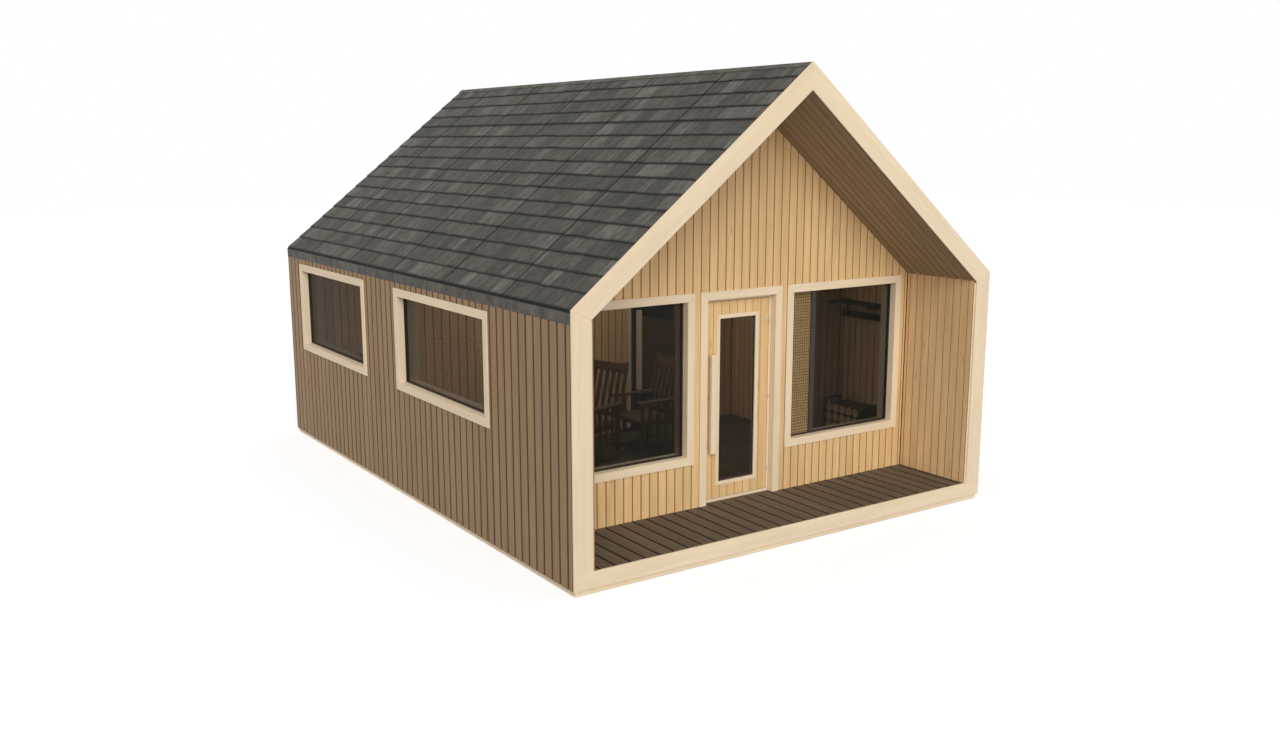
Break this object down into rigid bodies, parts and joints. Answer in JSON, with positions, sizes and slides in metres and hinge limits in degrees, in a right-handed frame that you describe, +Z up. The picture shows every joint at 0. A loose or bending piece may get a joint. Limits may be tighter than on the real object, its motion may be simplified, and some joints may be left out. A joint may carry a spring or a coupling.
{
  "type": "gable sauna cabin with a recessed porch",
  "caption": "Timber sauna cabin with a steep gable roof, a recessed porch under it, large windows and a glazed front door.",
  "frame": {"origin": "on the ground at the middle of the cabin's footprint", "axes": "+Z up; the porch and the front door face -Y; +X is to the right seen from the front"},
  "size_m": [5.024, 7, 4.41],
  "materials": {
    "trim": "painted cream boards, satin",
    "front_boards": "golden timber boards, oiled",
    "side_boards": "grey-brown weathered timber boards",
    "lining_boards": "oiled timber boards",
    "deck_boards": "dark oiled timber",
    "roof_shingles": "grey shingles, matt",
    "roof_edge": "dark grey painted board",
    "window_frame": "dark frame, satin",
    "glass": "tinted glass",
    "screen": "woven straw mesh",
    "steel": "brushed",
    "dark_steel": "black powder coat",
    "furniture": "dark stained timber",
    "firewood": "bark and split timber"
  },
  "bodies": {
    "cabin": {"ground_sills": "trim", "room_floor": "deck_boards", "porch_deck": "deck_boards", "porch_joists": "deck_boards", "deck_edge_board": "trim", "left_wall": "side_boards", "right_wall": "side_boards", "rear_wall": "side_boards", "front_wall_left": "front_boards", "front_wall_right": "front_boards", "front_gable": "front_boards", "left_roof": "lining_boards", "right_roof": "lining_boards", "left_roof_cover": "roof_shingles", "right_roof_cover": "roof_shingles", "eave_boards": "roof_edge", "portal_posts": "trim", "left_portal_rafter": "trim", "right_portal_rafter": "trim", "front_window_trims": "trim", "front_window_frames": "window_frame", "front_window_glass": "glass", "window_screen": "screen", "side_window_trims": "trim", "side_window_frames": "window_frame", "side_window_glass": "glass", "door_trim": "trim", "door_frame": "trim", "fixed_hinge_plates": "steel", "partition_walls": "lining_boards", "partition_top": "lining_boards", "sauna_bench": "furniture", "sauna_door_frame": "trim", "rocking_chairs": "furniture", "coat_rack": "dark_steel", "log_rack": "dark_steel", "logs": "firewood"},
    "front_door": {"door_leaf": "front_boards", "door_glass": "glass", "door_beads": "trim", "door_handles": "trim", "door_hinge_plates": "steel"},
    "sauna_door": {"sauna_door_glass": "glass", "sauna_door_handles": "trim", "sauna_door_hinge_plates": "steel"}
  },
  "joints": [
    {"name": "front_door_hinge", "type": "hinge", "parent": "cabin", "child": "front_door", "pos_m": [0.3835, -2.527, 0], "axis": [0, 0, 1], "range_deg": [0, 100]},
    {"name": "sauna_door_hinge", "type": "hinge", "parent": "cabin", "child": "sauna_door", "pos_m": [1.3895, 0.405, 0], "axis": [0, 0, 1], "range_deg": [0, 90]}
  ]
}
